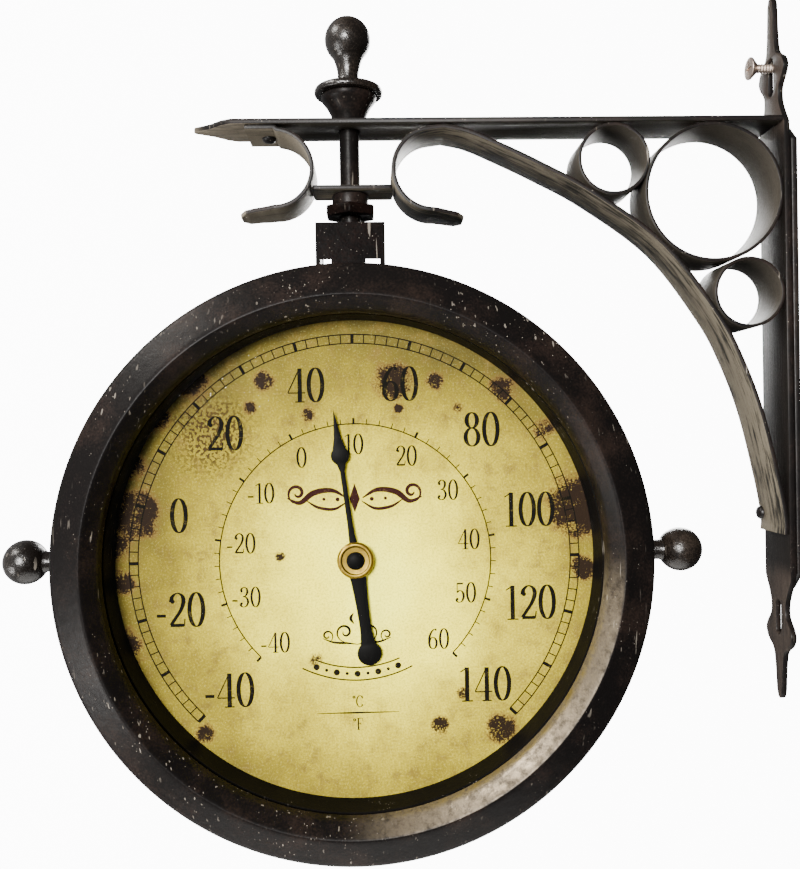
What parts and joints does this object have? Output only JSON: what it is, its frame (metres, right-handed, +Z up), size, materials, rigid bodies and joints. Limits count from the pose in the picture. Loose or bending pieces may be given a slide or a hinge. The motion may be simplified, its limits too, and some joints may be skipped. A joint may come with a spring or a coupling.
{
  "type": "bracket dial thermometer",
  "caption": "Double-faced round dial thermometer that hangs from a pin and swivels under a scrolled wall bracket with spear-ended strap; clock dial behind.",
  "frame": {"origin": "on the wall plane, at the back face of the wall bar, level with the middle of the dials", "axes": "+Z up, +X into the wall, so the bracket reaches out along -X; the thermometer dial looks along -Y and the clock dial along +Y"},
  "size_m": [0.3564, 0.0748, 0.3785],
  "materials": {
    "bracket_paint": "aged satin brown-black paint over steel, worn to bare grey-beige metal underneath",
    "case_paint": "aged satin brown-black paint",
    "bronze_paint": "aged dark bronze paint, lightly polished by handling",
    "steel": "dull zinc-plated steel",
    "brass": "dull brass",
    "dial_enamel": "aged cream print with a browned edge and rust stains",
    "clock_enamel": "aged cream print with a browned edge and rust stains",
    "hand_paint": "matt black",
    "works_plastic": "moulded black plastic",
    "glass": "clear flat glass"
  },
  "bodies": {
    "bracket": {"wall_bar": "bracket_paint", "wall_strap": "bracket_paint", "top_bar": "bracket_paint", "front_hook": "bracket_paint", "arch_brace": "bracket_paint", "cross_strap": "bracket_paint", "ring_large": "bracket_paint", "ring_small_upper": "bracket_paint", "ring_small_lower": "bracket_paint", "hook_rivet": "bracket_paint", "arch_foot_rivet": "bracket_paint", "wall_screw": "steel"},
    "case": {"hanger_pin": "case_paint", "finial_cone": "case_paint", "pin_collar": "case_paint", "pin_nut": "case_paint", "hanger_box": "case_paint", "drum": "case_paint", "front_bezel": "case_paint", "rear_bezel": "case_paint", "front_reveal": "case_paint", "rear_reveal": "case_paint", "finial": "bronze_paint", "knob_left": "bronze_paint", "knob_right": "bronze_paint", "hanger_lock_nut": "steel", "hanger_block": "steel", "hanger_screw_left": "steel", "hanger_screw_right": "steel", "knob_nut_left": "steel", "knob_nut_right": "steel", "battery": "steel", "front_bezel_screw_1": "steel", "front_bezel_screw_2": "steel", "front_bezel_screw_3": "steel", "rear_bezel_screw_1": "steel", "rear_bezel_screw_2": "steel", "rear_bezel_screw_3": "steel", "dial_pillar_1": "brass", "dial_pillar_2": "brass", "dial_pillar_3": "brass", "coil_bridge": "brass", "bimetal_coil": "brass", "movement_nut": "brass", "thermometer_dial": "dial_enamel", "clock_dial": "clock_enamel", "movement": "works_plastic", "front_glass": "glass", "rear_glass": "glass"},
    "pointer": {"pointer_arbor": "steel", "pointer": "hand_paint", "pointer_boss": "brass", "pointer_cap": "hand_paint"},
    "minute_hand": {"minute_arbor": "brass", "minute_hand": "hand_paint", "minute_cap": "brass"},
    "hour_hand": {"hour_pipe": "brass", "hour_hand": "hand_paint"},
    "set_knob": {"set_knob": "works_plastic"}
  },
  "joints": [
    {"name": "case_swivel", "type": "hinge", "parent": "bracket", "child": "case", "pos_m": [-0.1987, 0, 0.164], "axis": [0, 0, 1], "continuous": true},
    {"name": "pointer_sweep", "type": "hinge", "parent": "case", "child": "pointer", "pos_m": [-0.1987, -0.015, 0], "axis": [0, 1, 0], "range_deg": [-127.5, 142.5]},
    {"name": "minute_turn", "type": "hinge", "parent": "case", "child": "minute_hand", "pos_m": [-0.1987, 0.017, 0], "axis": [0, -1, 0], "continuous": true},
    {"name": "hour_turn", "type": "hinge", "parent": "case", "child": "hour_hand", "pos_m": [-0.1987, 0.0155, 0], "axis": [0, -1, 0], "continuous": true},
    {"name": "set_knob_turn", "type": "hinge", "parent": "case", "child": "set_knob", "pos_m": [-0.1987, -0.006, 0.02], "axis": [0, -1, 0], "continuous": true}
  ],
  "couplings": [
    {"joint": "hour_turn", "follows": "minute_turn", "ratio": 0.083333},
    {"joint": "set_knob_turn", "follows": "minute_turn", "ratio": 1}
  ]
}
